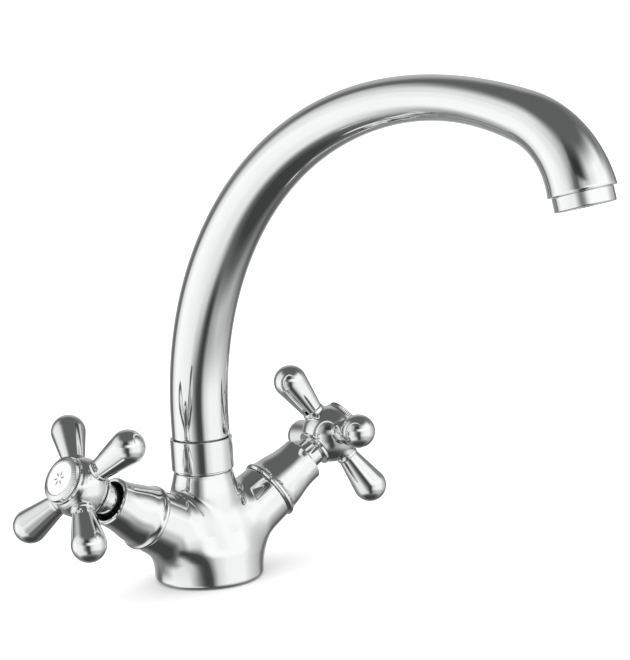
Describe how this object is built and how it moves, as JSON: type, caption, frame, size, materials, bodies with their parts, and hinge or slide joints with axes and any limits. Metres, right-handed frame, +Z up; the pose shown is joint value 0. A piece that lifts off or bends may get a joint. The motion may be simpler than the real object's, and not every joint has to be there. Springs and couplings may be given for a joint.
{
  "type": "kitchen mixer tap",
  "caption": "Deck-mounted kitchen mixer tap with a round foot, slanted side arms with cross handles, and a tall arched swivel spout.",
  "frame": {"origin": "centre of the underside of the foot, on the deck", "axes": "+Z up, the spout reaches towards -Y, hot handle at -X, cold handle at +X"},
  "size_m": [0.1817, 0.265, 0.229],
  "materials": {
    "chrome": "polished",
    "brass": "machined",
    "ceramic": "lapped",
    "white_enamel": "glossy",
    "rubber": "matte",
    "white_plastic": "moulded",
    "steel": "plated"
  },
  "bodies": {
    "tap_body": {"body": "chrome", "base_gasket": "rubber", "spout_collar": "chrome", "hot_sleeve": "chrome", "hot_valve_housing": "brass", "hot_seat_seal": "rubber", "hot_fixed_disc": "ceramic", "hot_housing_seal": "rubber", "cold_sleeve": "chrome", "cold_valve_housing": "brass", "cold_seat_seal": "rubber", "cold_fixed_disc": "ceramic", "cold_housing_seal": "rubber"},
    "spout": {"spout_tube": "chrome", "spout_spigot": "brass", "spigot_seals": "rubber", "slide_ring": "white_plastic", "aerator_housing": "chrome", "aerator_insert": "white_plastic", "aerator_gasket": "rubber"},
    "hot_handle": {"hot_hub": "chrome", "hot_arm_1": "chrome", "hot_arm_2": "chrome", "hot_arm_3": "chrome", "hot_arm_4": "chrome", "hot_cap": "chrome", "hot_index_disc": "white_enamel", "hot_handle_screw": "steel", "hot_spindle": "brass", "hot_moving_disc": "ceramic", "hot_spindle_seal": "rubber", "hot_circlip": "steel"},
    "cold_handle": {"cold_hub": "chrome", "cold_arm_1": "chrome", "cold_arm_2": "chrome", "cold_arm_3": "chrome", "cold_arm_4": "chrome", "cold_cap": "chrome", "cold_index_disc": "white_enamel", "cold_handle_screw": "steel", "cold_spindle": "brass", "cold_moving_disc": "ceramic", "cold_spindle_seal": "rubber", "cold_circlip": "steel"}
  },
  "joints": [
    {"name": "spout_swivel", "type": "hinge", "parent": "tap_body", "child": "spout", "pos_m": [0, 0, 0.058], "axis": [0, 0, 1], "continuous": true},
    {"name": "hot_turn", "type": "hinge", "parent": "tap_body", "child": "hot_handle", "pos_m": [-0.06893, -0.00579, 0.05556], "axis": [-0.8542, -0.0717, 0.515], "range_deg": [0, 90]},
    {"name": "cold_turn", "type": "hinge", "parent": "tap_body", "child": "cold_handle", "pos_m": [0.06893, -0.00579, 0.05556], "axis": [0.8542, -0.0717, 0.515], "range_deg": [0, 90]}
  ]
}
